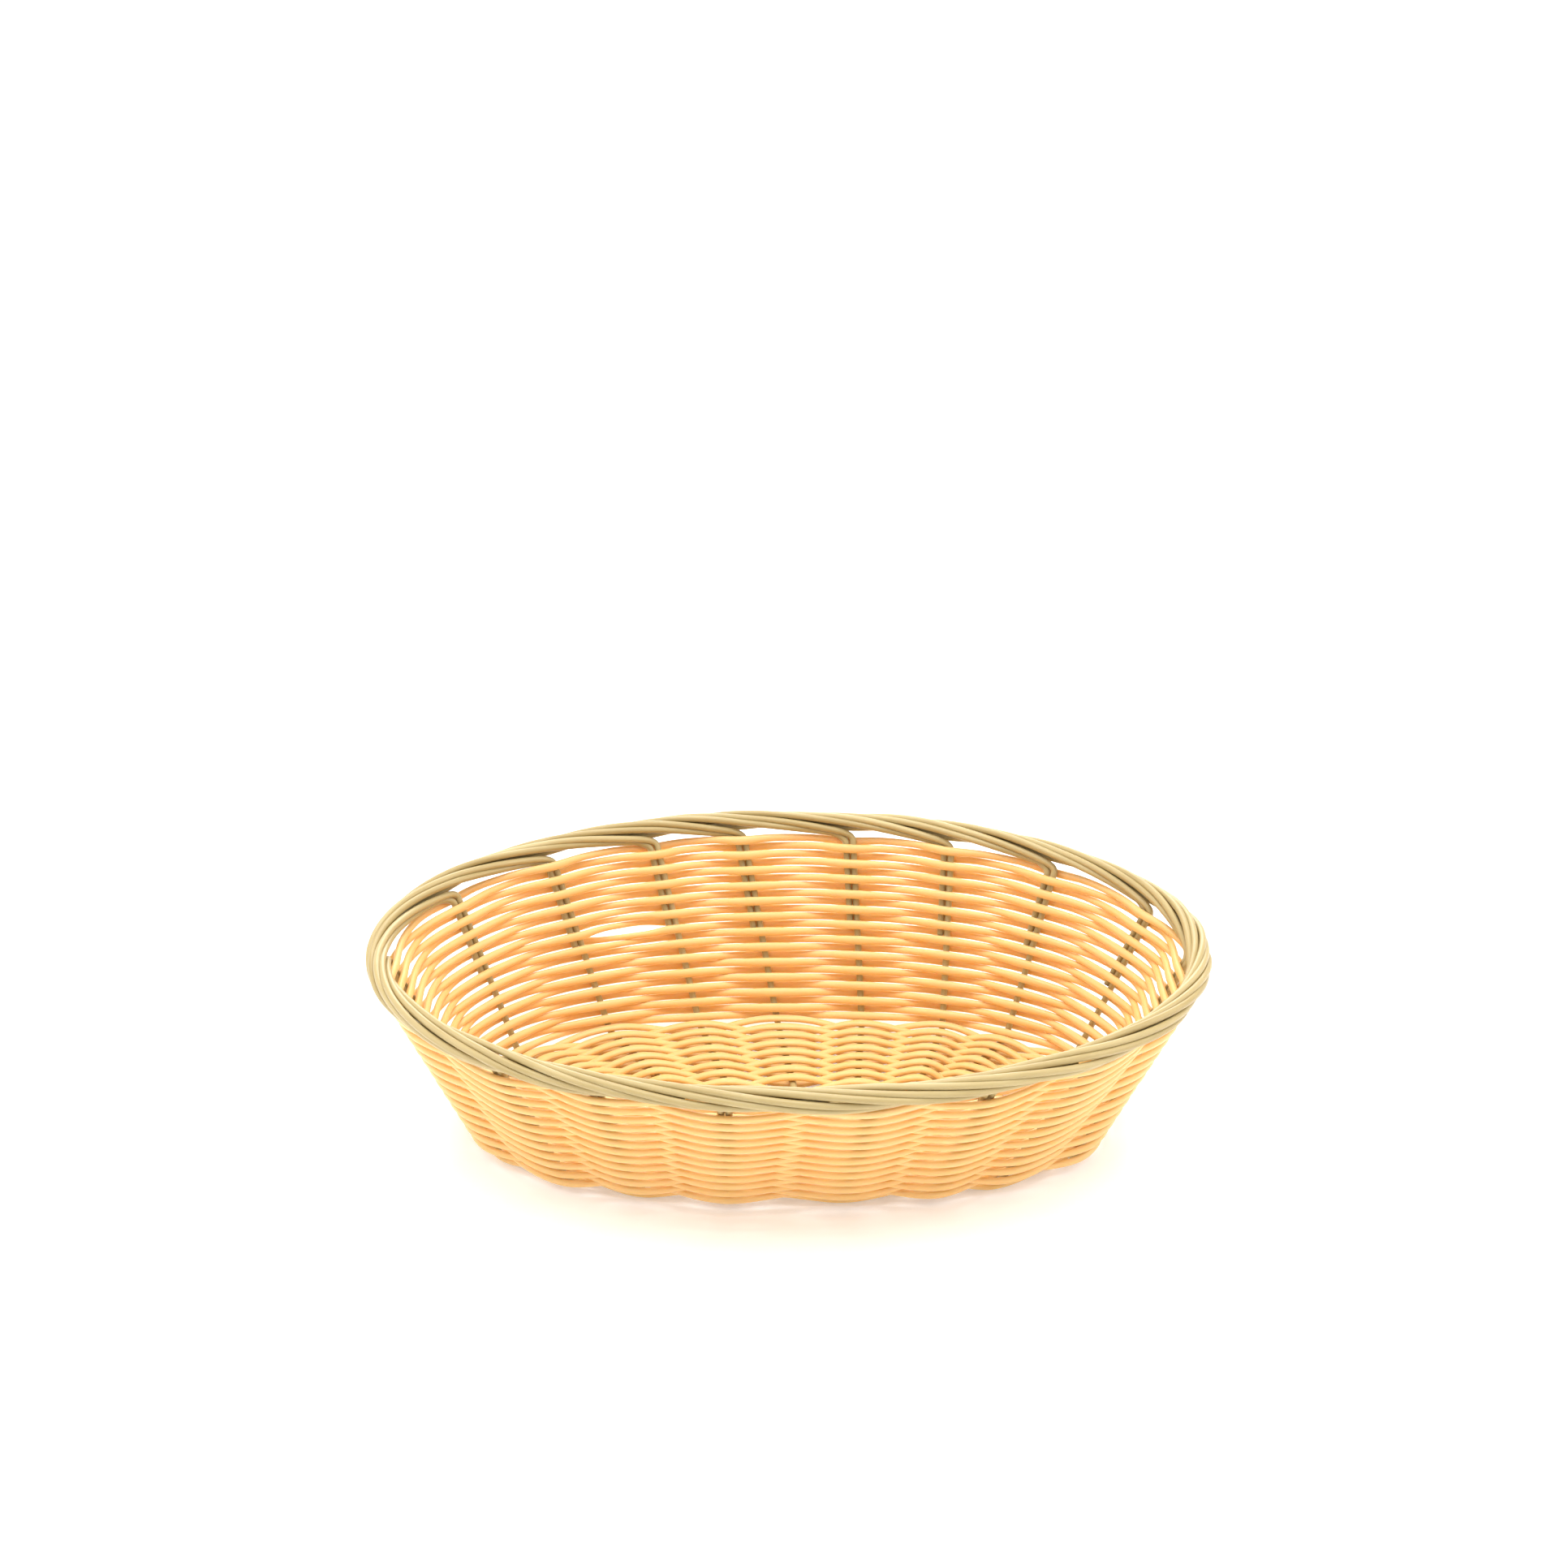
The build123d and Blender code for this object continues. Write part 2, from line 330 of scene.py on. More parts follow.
    def root(self, place: Array) -> Array:
        """Starting points on the spine, even between one stake end and the next.

        Args:
            place: Places round the basket, in stake intervals.

        Returns:
            Points, one for each place.
        """
        table = self.roots()
        near = np.floor(place).astype(int)
        share = (place - near)[..., None]
        return table[near % self.ends] * (1 - share) + table[(near + 1) % self.ends] * share

    def first_reach(self, root: Array, way: Array) -> Array:
        """Distance along each line to the first row, which keeps the same distance from the spine.

        Beside the spine that is a straight line, and past its ends a circle about the end.

        Args:
            root: Starting points on the spine.
            way: Directions of the lines, of length one.

        Returns:
            Distances from the starting points.
        """
        least_slope = 1e-6
        steep = np.maximum(np.abs(way[:, 1]), least_slope)
        beside = (self.first_row - np.abs(root[:, 1])) / steep
        from_end = root * (1, 1, 0)
        from_end[:, 0] -= np.copysign(self.spine_end, way[:, 0])
        nearer = np.sum(from_end * way, axis=1)
        inside = nearer**2 - np.sum(from_end**2, axis=1) + self.first_row**2
        round_end = np.sqrt(np.maximum(inside, 0)) - nearer
        straight = np.abs(root[:, 0] + way[:, 0] * beside) <= self.spine_end
        return np.where(straight, beside, round_end)

    def row_line(self, zone: Zone, row: float, place: Array) -> Array:
        """Where a row crosses the lines of the form, midway through the weave's thickness.

        Args:
            zone: Floor or wall.
            row: Number of the row in its zone, from 0, or a place between two rows.
            place: Places round the basket, in stake intervals.

        Returns:
            Points on the row.
        """
        bend = self.bend(place)
        if zone is Zone.FLOOR:
            root = self.root(place)
            way = unit(bend - root)
            start = self.first_reach(root, way)
            run = np.linalg.norm(bend - root, axis=1) - start - self.last_to_bend
            along = start + run * row / (self.floor_rows - 1)
            return root + way * along[:, None]
        top = self.rim_point(place)
        way = unit(top - bend)
        run = np.linalg.norm(top - bend, axis=1) - self.bend_to_wall
        run -= self.strands.weaver / 2 + self.strands.row_gap
        along = self.bend_to_wall + run * row / (self.wall_rows - 1)
        return bend + way * along[:, None]

    def crossings(self, zone: Zone, row: int) -> Array:
        """Which crossing each stake end is. The first rows take a fan of long stakes as one.

        Args:
            zone: Floor or wall.
            row: Number of the row in its zone, from 0.

        Returns:
            A whole number for each stake end.
        """
        numbers = np.arange(self.ends)
        if zone is Zone.WALL or row >= self.bundle_rows:
            return numbers
        left = [end for _, end in self.long]
        right = [end for end, _ in self.long]
        left_fan = len(self.cross) + 1
        back = numbers - self.cross[0][0] + 1
        front = numbers - max(left) + left_fan
        fanned = np.where(numbers < min(left), back, front)
        fanned[left] = left_fan
        fanned[right] = 0
        return fanned

    def sides(self, zone: Zone, row: int) -> Array:
        """Which side of each stake end a row passes: sides take turns round the row and row by row.

        Args:
            zone: Floor or wall.
            row: Number of the row in its zone, from 0.

        Returns:
            1 where the row passes outside, or under in the floor, and -1 inside.
        """
        count = row + (self.floor_rows if zone is Zone.WALL else 0)
        return np.where((self.crossings(zone, row) + count) % 2 == 1, 1.0, -1.0)

    def beside(self) -> Array:
        """Step from each stake end to its bye-stake, along the rim.

        Returns:
            One step for each stake end.
        """
        ends = np.arange(self.ends)
        return unit(self.rim_point(ends + 0.5) - self.rim_point(ends - 0.5)) * self.strands.pair


@dataclass(frozen=True)
class RodMesh:
    """Makes round rods from middle lines.

    Attributes:
        corners: Sides of the round section.
        bevel: Share of the radius that an end is rounded off by.
    """

    corners: int = 14
    bevel: float = 0.3

    def rings(self, line: Array, outward: Array, radius: Array, closed: bool) -> Array:
        """Rings round a line: outward times cosine plus the third direction times sine.

        Args:
            line: Points of the middle line.
            outward: A direction at each point that isn't along the line.
            radius: At each point, the radius outward and the radius in the third direction.
            closed: Whether the line's ends meet.

        Returns:
            Points as stations by corners by three.
        """
        if closed:
            along = np.roll(line, -1, axis=0) - np.roll(line, 1, axis=0)
        else:
            along = np.gradient(line, axis=0)
        along = unit(along)
        out = unit(outward - along * np.sum(outward * along, axis=1, keepdims=True))
        third = np.cross(along, out)
        turn = np.arange(self.corners) * 2 * np.pi / self.corners
        across = (out * radius[:, :1])[:, None] * np.cos(turn)[:, None]
        return line[:, None] + across + (third * radius[:, 1:])[:, None] * np.sin(turn)[:, None]

    def build(self, line: Array, outward: Array, radius: Array, closed: bool) -> "Skin":
        """The skin of a rod, closed on itself or ended with rounded caps.

        Args:
            line: Points of the middle line.
            outward: A direction at each point that isn't along the line.
            radius: At each point, the radius outward and the radius square to that.
            closed: Whether the line's ends meet.

        Returns:
            The rod's skin.
        """
        if not closed:
            edge = self.bevel * radius[0, 0]
            way_in = unit(line[[1, -2]] - line[[0, -1]]) * edge
            first, last = line[:1], line[-1:]
            line = np.concatenate((first, first + way_in[0], line[1:-1], last + way_in[1], last))
            outward = np.concatenate((outward[:1], outward, outward[-1:]))
            radius = np.concatenate((radius[:1] - edge, radius, radius[-1:] - edge))
        points = self.rings(line, outward, radius, closed)
        stations = len(line)
        spans = stations if closed else stations - 1
        here = np.arange(spans)[:, None]
        side = np.arange(self.corners)[None, :]
        after, beyond = (here + 1) % stations, (side + 1) % self.corners
        quads = np.stack(
            (here * self.corners + side, after * self.corners + side,
             after * self.corners + beyond, here * self.corners + beyond), axis=-1)
        step = np.linalg.norm(np.diff(np.concatenate((line, line[:1])), axis=0), axis=1)
        length = np.concatenate(([0.0], np.cumsum(step)))[: spans + 1] * MM
        near, low = np.broadcast_arrays(length[:-1, None], side / self.corners)
        far, high = np.broadcast_arrays(length[1:, None], (side + 1) / self.corners)
        maps = np.stack((near, low, far, low, far, high, near, high), axis=-1)
        caps = np.empty((0, self.corners), int)
        if not closed:
            ring = np.arange(self.corners)
            caps = np.stack((ring, (stations - 1) * self.corners + ring[::-1]))
        return Skin(points.reshape(-1, 3) * MM, quads.reshape(-1, 4), maps.reshape(-1, 2), caps)


@dataclass
class Skin:
    """The mesh of one or more rods.

    Attributes:
        points: Vertices, in metres.
        quads: Four vertex numbers for each face along the rods.
        maps: For each quad's corners, the length along the rod and the share round it.
        caps: Vertex numbers round each end cap, none where the rods are closed.
    """

    points: Array
    quads: Array
    maps: Array
    caps: Array

    def joined(self, other: "Skin") -> "Skin":
        """This skin and another as one, still separate shells.

        Args:
            other: The skin to add.

        Returns:
            The two skins together.
        """
        shift = len(self.points)
        return Skin(
            np.concatenate((self.points, other.points)),
            np.concatenate((self.quads, other.quads + shift)),
            np.concatenate((self.maps, other.maps)),
            np.concatenate((self.caps, other.caps + shift)))

    def to_object(self, name: str, tint: float) -> bpy.types.Object:
        """Make the Blender object.

        Args:
            name: Name of the object.
            tint: How this strand's colour differs from its neighbours', from 0 to 1.

        Returns:
            The object, linked to the scene.
        """
        mesh = bpy.data.meshes.new(name)
        corners = np.concatenate((self.quads.reshape(-1), self.caps.reshape(-1)))
        quad_sizes = np.full(len(self.quads), self.quads.shape[1])
        sizes = np.concatenate((quad_sizes, np.full(len(self.caps), self.caps.shape[1])))
        mesh.vertices.add(len(self.points))
        mesh.loops.add(len(corners))
        mesh.polygons.add(len(sizes))
        mesh.vertices.foreach_set("co", self.points.reshape(-1))
        mesh.loops.foreach_set("vertex_index", corners)
        mesh.polygons.foreach_set("loop_start", np.concatenate(([0], np.cumsum(sizes)[:-1])))
        mesh.polygons.foreach_set("loop_total", sizes)
        mesh.update(calc_edges=True)
        mesh.polygons.foreach_set("use_smooth", np.arange(len(sizes)) < len(self.quads))
        lengthwise = mesh.uv_layers.new(name=LENGTHWISE)
        cap_map = np.zeros((self.caps.size, 2))
        lengthwise.data.foreach_set("uv", np.concatenate((self.maps, cap_map)).reshape(-1))
        shade = mesh.attributes.new(TINT, "FLOAT", "POINT")
        shade.data.foreach_set("value", np.full(len(self.points), tint))
        mesh.validate()
        piece = bpy.data.objects.new(name, mesh)
        bpy.context.collection.objects.link(piece)
        return piece


@dataclass(frozen=True)
class CaneFinish:
    """Satin plastic cane, with drawn lines along each strand and a change of shade from place to place.

    The shade goes from pale to deep by the sum of the strand's tint, a share of the drawn lines and a
    share of a cloud of noise.

    Attributes:
        slot: The record's material slot.
        pale: Colour where the cane is lightest.
        deep: Colour where it is darkest.
        glow: How much light passes through the surface.
        roughness: Range of roughness.
        cloud_scale: Clouds of shade for each metre.
        cloud_detail: Octaves of the clouds.
        cloud_share: How much the clouds change the shade.
        line_scale: Drawn lines for each metre along a strand, and for a turn round it.
        line_detail: Octaves of the drawn lines.
        line_share: How much the lines change the shade.
        shade_range: The sums at which the shade is palest and deepest.
        line_strength: Strength of the drawn lines' bump.
        line_depth: Depth of the drawn lines, in metres.
        bending: Index of refraction of the plastic.
        glow_depth: How far light travels inside, in metres.
        glow_colour: Share of that depth that red, green and blue light travel.
    """

    slot: str
    pale: tuple[float, float, float]
    deep: tuple[float, float, float]
    glow: float
    roughness: tuple[float, float]
    cloud_scale: float = 55.0
    cloud_detail: float = 3.0
    cloud_share: float = 0.5
    line_scale: tuple[float, float] = (60.0, 9.0)
    line_detail: float = 4.0
    line_share: float = 0.45
    shade_range: tuple[float, float] = (0.3, 1.2)
    line_strength: float = 0.6
    line_depth: float = 0.00005
    bending: float = 1.45
    glow_depth: float = 0.0018
    glow_colour: tuple[float, float, float] = (1.0, 0.9, 0.55)

    @staticmethod
    def noise(
        tree: bpy.types.NodeTree,
        where: bpy.types.NodeSocket,
        scale: float,
        detail: float,
    ) -> bpy.types.NodeSocket:
        """Add a noise texture.

        Args:
            tree: The material's nodes.
            where: Where on the strand each point lies.
            scale: Bumps of noise for each unit.
            detail: Octaves of the noise.

        Returns:
            The noise, from 0 to 1.
        """
        texture = tree.nodes.new("ShaderNodeTexNoise")
        texture.inputs["Scale"].default_value = scale
        texture.inputs["Detail"].default_value = detail
        tree.links.new(where, texture.inputs["Vector"])
        return texture.outputs["Fac"]

    @staticmethod
    def add_share(
        tree: bpy.types.NodeTree,
        value: bpy.types.NodeSocket,
        share: float,
        base: bpy.types.NodeSocket,
    ) -> bpy.types.NodeSocket:
        """Add a share of one value to another: value times share plus base.

        Args:
            tree: The material's nodes.
            value: The value to add.
            share: How much of it to add.
            base: What it is added to.

        Returns:
            The sum.
        """
        total = tree.nodes.new("ShaderNodeMath")
        total.operation = "MULTIPLY_ADD"
        total.inputs[1].default_value = share
        tree.links.new(value, total.inputs[0])
        tree.links.new(base, total.inputs[2])
        return total.outputs["Value"]

    def colour(self, tree: bpy.types.NodeTree, total: bpy.types.NodeSocket) -> bpy.types.NodeSocket:
        """Turn the sum into a colour between pale and deep.

        Args:
            tree: The material's nodes.
            total: The sum of tint, lines and clouds.

        Returns:
            The colour.
        """
        ramp = tree.nodes.new("ShaderNodeMapRange")
        ramp.inputs["From Min"].default_value, ramp.inputs["From Max"].default_value = self.shade_range
        tree.links.new(total, ramp.inputs["Value"])
        mix = tree.nodes.new("ShaderNodeMix")
        mix.data_type = "RGBA"
        mix.inputs["A"].default_value = (*self.pale, 1.0)
        mix.inputs["B"].default_value = (*self.deep, 1.0)
        tree.links.new(ramp.outputs["Result"], mix.inputs["Factor"])
        return mix.outputs["Result"]

    def material(self) -> bpy.types.Material:
        """Build the material.

        Returns:
            The material, named for its slot.
        """
        made = bpy.data.materials.new(f"{self.slot}_cane")
        made.use_nodes = True
        tree = made.node_tree
        nodes, links = tree.nodes, tree.links
        shader = nodes["Principled BSDF"]
        place = nodes.new("ShaderNodeTexCoord")
        cloud = self.noise(tree, place.outputs["Object"], self.cloud_scale, self.cloud_detail)
        along = nodes.new("ShaderNodeUVMap")
        along.uv_map = LENGTHWISE
        stretch = nodes.new("ShaderNodeMapping")
        stretch.inputs["Scale"].default_value = (*self.line_scale, 1.0)
        links.new(along.outputs["UV"], stretch.inputs["Vector"])
        lines = self.noise(tree, stretch.outputs["Vector"], 1.0, self.line_detail)
        tint = nodes.new("ShaderNodeAttribute")
        tint.attribute_name = TINT
        lined = self.add_share(tree, lines, self.line_share, tint.outputs["Fac"])
        total = self.add_share(tree, cloud, self.cloud_share, lined)
        links.new(self.colour(tree, total), shader.inputs["Base Color"])
        rough = nodes.new("ShaderNodeMapRange")
        rough.inputs["To Min"].default_value, rough.inputs["To Max"].default_value = self.roughness
        links.new(cloud, rough.inputs["Value"])
        links.new(rough.outputs["Result"], shader.inputs["Roughness"])
        bump = nodes.new("ShaderNodeBump")
        bump.inputs["Strength"].default_value = self.line_strength
        bump.inputs["Distance"].default_value = self.line_depth
        links.new(lines, bump.inputs["Height"])
        links.new(bump.outputs["Normal"], shader.inputs["Normal"])
        shader.inputs["IOR"].default_value = self.bending
        shader.inputs["Subsurface Weight"].default_value = self.glow
        shader.inputs["Subsurface Scale"].default_value = self.glow_depth
        shader.inputs["Subsurface Radius"].default_value = self.glow_colour
        return made


@dataclass
class Placer:
    """Puts finished pieces into the shared frame.

    Attributes:
        chance: Seeded source of the small differences between strands.
        tints: The least and the greatest tint of a strand.
        count: Pieces placed so far.
    """

    chance: np.random.Generator
    tints: tuple[float, float] = (0.0, 0.35)
    count: int = 0

    def place(self, skin: Skin, node: str, finish: CaneFinish, material: bpy.types.Material) -> None:
        """Make a piece from a skin, dress it and have it stand for its CAD node.

        Args:
            skin: The piece's skin.
            node: The CAD node that it stands for, which names the piece too.
            finish: The finish that the piece has. Not used.
            material: The finish's material.
        """
        name = f"{node}_cane"
        piece = skin.to_object(name, float(self.chance.uniform(*self.tints)))
        piece.data.materials.append(material)
        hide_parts(node)
        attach(piece, BODY)
        self.count += 1
        LOG.info("%s stands for %s, %d faces", name, node, len(piece.data.polygons))


@dataclass(frozen=True)
class RowGap:
    """A place in the wall where the rows have been pushed apart, so that light shows through.

    Attributes:
        row: Row that the gap is at, half-way between two whole numbers.
        place: Middle of the gap, in stake intervals round the basket.
        half_length: Half its length, in stake intervals.
        push: How far a row beside it is pushed away.
        spread: Number of rows over which the push fades.
    """

    row: float = 12.5
    place: float = 6.52
    half_length: float = 0.46
    push: float = 0.7
    spread: float = 1.6

    def shift(self, row: float, place: Array) -> Array:
        """How far a row is pushed up the wall: (1 - n^4)^2 along it, fading as e to the minus rows.

        Args:
            row: Number of the row.
            place: Places round the basket, in stake intervals.

        Returns:
            Distances up the wall.
        """
        away = row - self.row
        near = np.clip(np.abs(place - self.place) / self.half_length, 0, 1)
        beyond_nearest = abs(away) - 0.5
        fade = np.exp(-beyond_nearest / self.spread)
        return self.push * np.sign(away) * fade * (1 - near**4) ** 2


@dataclass
class Weaving:
    """The rows of weaver in the floor and the wall.

    Attributes:
        form: The basket's shape.
        mesh: The maker of rods.
        finish: The finish of the weavers.
        stations: Stations for each stake interval.
        wander: How far a row wanders up and down, as hand-laid rows do.
        waves: Numbers of waves in one round, whose mean is that wander.
        fill: Share of the space between rows that the flattened cane fills.
        tallest: The most that cane flattens out to.
        least: Share of the weaver's diameter that it never gets lower than.
        pulled: Share by which the cane is flattened more where it is pulled tight past a stake.
        lift: How much higher the top row bulges between stakes, fading down the wall.
        gap: Where two rows stand apart.
    """

    form: Form
    mesh: RodMesh
    finish: CaneFinish
    stations: int = 22
    wander: float = 0.08
    waves: tuple[int, ...] = (2, 5, 9)
    fill: float = 0.965
    tallest: float = 2.9
    least: float = 0.8
    pulled: float = 0.22
    lift: float = 0.7
    gap: RowGap = field(default_factory=RowGap)

    def swing(self, zone: Zone, row: int, place: Array) -> Array:
        """How far a row lies outside the stakes' line: its side at each stake, eased between them.

        Args:
            zone: Floor or wall.
            row: Number of the row in its zone, from 0.
            place: Places round the basket, in stake intervals.

        Returns:
            Distances, positive towards the outside.
        """
        form = self.form
        if zone is Zone.WALL and row >= form.wall_rows - form.bye_rows:
            ends = np.arange(form.ends)
            interval = np.linalg.norm(form.rim_point(ends + 1) - form.rim_point(ends), axis=1)
            shift = form.strands.pair / 2 / interval
            known = np.append(shift, shift[0])
            place = place - np.interp(place % form.ends, np.arange(form.ends + 1), known)
        sides = form.sides(zone, row)
        near = np.floor(place).astype(int)
        here, after = sides[near % form.ends], sides[(near + 1) % form.ends]
        return form.strands.throw * (here + (after - here) * ease(place - near))

    def row(self, zone: Zone, row: int, chance: np.random.Generator) -> Skin:
        """One row: its line on the form, moved out by its swing and up by its push and a slow wander.

        The cane is as tall as the space between rows allows, and taller where it is tight past a
        stake, which is the fourth power of its swing. The lift fades down the wall by a fifth power.

        Args:
            zone: Floor or wall.
            row: Number of the row in its zone, from 0.
            chance: Source of the wander.

        Returns:
            The row's skin.
        """
        form, weaver = self.form, self.form.strands.weaver
        place = np.arange(form.ends * self.stations) / self.stations
        line = form.row_line(zone, row, place)
        other = form.row_line(zone, row + 1, place)
        along = unit(np.roll(line, -1, axis=0) - np.roll(line, 1, axis=0))
        pitch = np.linalg.norm(other - line, axis=1)
        swing = self.swing(zone, row, place)
        tight = (swing / form.strands.throw) ** 4
        push = np.zeros(len(place))
        if zone is Zone.WALL:
            push = self.gap.shift(row, place)
            below, above = (self.gap.shift(row + step, place) for step in (-1, 1))
            pitch = pitch - np.maximum(np.maximum(below - push, push - above), 0)
            push = push + self.lift * (row / (form.wall_rows - 1)) ** 5 * (1 - tight)
        wanted = pitch * self.fill * (1 + self.pulled * tight)
        tall = np.clip(wanted, weaver * self.least, self.tallest)
        radius = np.stack((np.full(len(tall), weaver), tall), axis=-1) / 2
        up = unit(other - line)
        outward = unit(np.cross(along, up))
        turn = place * 2 * np.pi / form.ends
        phase = chance.uniform(0, 2 * np.pi, len(self.waves))[:, None]
        wander = np.sin(np.array(self.waves)[:, None] * turn + phase).mean(axis=0) * self.wander
        line = line + outward * swing[:, None] + up * (wander + push)[:, None]
        return self.mesh.build(line, outward, radius, closed=True)

    def build(self, placer: Placer) -> None:
        """Make, dress and place every row.

        Args:
            placer: What places the pieces.
        """
        material = self.finish.material()
        rows = ((Zone.FLOOR, self.form.floor_rows), (Zone.WALL, self.form.wall_rows))
        for zone, count in rows:
            for row in range(count):
                skin = self.row(zone, row, placer.chance)
                placer.place(skin, f"{zone.value}_row_{row + 1:02d}", self.finish, material)


@dataclass
class Uprights:
    """The stakes, the bye-stakes and the border that their ends make.

    Attributes:
        form: The basket's shape.
        mesh: The maker of rods.
        finish: The finish of the rods.
        steps: Points of a rod's smooth line for each point of its route.
        border_steps: Points of a rod's route for each stake interval of the border.
        bend: How near a bend the route has a point, each side.
        wall_share: Shares of the way from bend to border at which a route's wall points lie.
        wall_points: How many of them there are.
        floor_share: Shares of the way from bend to spine at which its floor points lie.
        floor_points: How many of them there are at each end.
        spine_points: Points of a long stake's route along the spine.
        bye_share: Shares of the way from a bye-stake's foot to the border at which its points lie.
        bye_points: How many of them there are.
        intervals: Stake intervals that a rod runs along the rim, its tucked end included.
        tuck: Share of the border's radius by which a rod's end is tucked in.
        tuck_run: Stake intervals over which it tucks in.
        looseness: Share of the border's radius by which a rod wanders in and out.
        drawn_in: Share of that wander by which all rods are drawn in.
        wander: Angles in radians by which the wander's sine goes on with each stake interval, with
            each stake end and from a stake to its bye-stake.
        closeness: Angle in radians by which each rod of a pair leans to the other in the border.
        sag: How much lower a rod lies where it leaves the wall, as it climbs into the border.
        sag_run: Stake intervals over which it makes that up.
    """

    form: Form
    mesh: RodMesh
    finish: CaneFinish
    steps: int = 6
    border_steps: int = 8
    bend: float = 3.0
    wall_share: tuple[float, float] = (0.15, 0.85)
    wall_points: int = 6
    floor_share: tuple[float, float] = (0.2, 0.85)
    floor_points: int = 4
    spine_points: int = 8
    bye_share: tuple[float, float] = (0.0, 0.9)
    bye_points: int = 6
    intervals: float = 3.8
    tuck: float = 0.6
    tuck_run: float = 1.1
    looseness: float = 0.12
    drawn_in: float = 0.7
    wander: tuple[float, float, float] = (2.3, 2.4, 1.7)
    closeness: float = 0.05
    sag: float = 1.1
    sag_run: float = 0.9

    def smooth(self, route: Array) -> Array:
        """A smooth line through a route: three points at a time, blended by squares of the share.

        Args:
            route: Points of the route.

        Returns:
            Points of the smooth line, from the route's first point to its last.
        """
        padded = np.concatenate((route[:1], route, route[-1:]))
        first, middle, last = padded[:-2, None], padded[1:-1, None], padded[2:, None]
        share = (np.arange(self.steps) / self.steps)[None, :, None]
        before, after = (1 - share) ** 2 / 2, share**2 / 2
        line = before * first + (1 - before - after) * middle + after * last
        return np.concatenate((line.reshape(-1, 3), route[-1:]))

    def border(self, end: int, kind: RodKind) -> Array:
        """A rod's route in the border: it turns two slots round the section for each interval.

        Its distance from the section's middle wanders as a sine, and eases in where it tucks in. Its
        height starts low by the sag and makes that up as a square.

        Args:
            end: Number of the stake end.
            kind: Stake or bye-stake.

        Returns:
            Points of the route, from the wall's top to the rod's end.
        """
        form, rope, strands = self.form, self.form.rope, self.form.strands
        here = np.array([float(end)])
        step = form.beside()[end] * kind.value
        up = unit(form.rim_point(here) - form.bend(here))[0]
        interval = np.linalg.norm(form.rim_point(here + 1) - form.rim_point(here))
        enter = (strands.pair * kind.value + rope.take_up) / interval
        rest = np.arange(1, int(self.intervals * self.border_steps) + 1) / self.border_steps
        half_step = 0.5 / self.border_steps
        run = np.concatenate(([enter], rest[rest > enter + half_step]))
        rim = form.rim_point(end + run)
        out = unit(rim / np.array([form.top[0] ** 2, form.top[1] ** 2, np.inf]))
        start = -np.pi + rope.slot_angle * (0.5 + kind.value) + self.closeness * (1 - 2 * kind.value)
        angle = start - 2 * rope.slot_angle * run
        tucked = ease(np.clip((run - self.intervals + self.tuck_run) / self.tuck_run, 0, 1))
        by_run, by_end, by_kind = self.wander
        wander = np.sin(run * by_run + end * by_end + kind.value * by_kind) * np.minimum(run, 1)
        loose = self.looseness * (wander - self.drawn_in)
        radius = rope.radius(strands) * (1 - self.tuck * tucked + loose)
        low = self.sag * np.clip(1 - run / self.sag_run, 0, 1) ** 2
        rim[:, 2] = form.border_height + radius * np.sin(angle) - low
        rim += out * (rope.offset + radius * np.cos(angle))[:, None]
        rise = rope.bye_turn if kind is RodKind.BYE_STAKE else rope.stake_turn
        foot = form.rim_point(here)[0] + step + up * rise
        return np.concatenate((foot[None] - up * self.bend, foot[None], rim))

    def half(self, end: int) -> Array:
        """The route of one end of a stake, from just before the bend to the end of the rod.

        Args:
            end: Number of the stake end.

        Returns:
            Points of the route.
        """
        form = self.form
        here = np.array([float(end)])
        root, bend, top = form.root(here)[0], form.bend(here)[0], form.rim_point(here)[0]
        before = bend + unit(root - bend) * self.bend
        after = bend + unit(top - bend) * self.bend
        wall = after + (top - after) * np.linspace(*self.wall_share, self.wall_points)[:, None]
        border = self.border(end, RodKind.STAKE)
        return np.concatenate((before[None], bend[None], after[None], wall, border))

    def outward(self, line: Array) -> Array:
        """Directions away from the basket's middle, which no rod runs along.

        Each is taken from a point on a line lengthwise through the basket, inside its wall.

        Args:
            line: Points of a rod's middle line.

        Returns:
            A direction at each point.
        """
        inner_length, inner_height = 0.6, 0.65
        middle = line * (inner_length, 0.0, 0.0)
        middle[:, 2] = self.form.height * inner_height
        return line - middle

    def skin(self, route: Array) -> Skin:
        """The skin of the round rod along a route.

        Args:
            route: Points of the route.

        Returns:
            The rod's skin.
        """
        line = self.smooth(route)
        radius = np.full((len(line), 2), self.form.strands.rod / 2)
        return self.mesh.build(line, self.outward(line), radius, closed=False)

    def stake(self, ends: tuple[int, int]) -> Skin:
        """A stake from one end in the border to the other.

        Args:
            ends: Numbers of its two ends.

        Returns:
            The stake's skin.
        """
        first, second = self.half(ends[0])[::-1], self.half(ends[1])
        roots = self.form.roots()[list(ends)]
        inward = np.linspace(*self.floor_share, self.floor_points)[:, None]
        floor_in = first[-1] + (roots[0] - first[-1]) * inward
        spine = roots[:1]
        if np.linalg.norm(roots[0] - roots[1]) > self.form.strands.rod:
            spine = np.linspace(roots[0], roots[1], self.spine_points)
        floor_out = second[0] + (roots[1] - second[0]) * inward[::-1]
        return self.skin(np.concatenate((first, floor_in, spine, floor_out, second)))

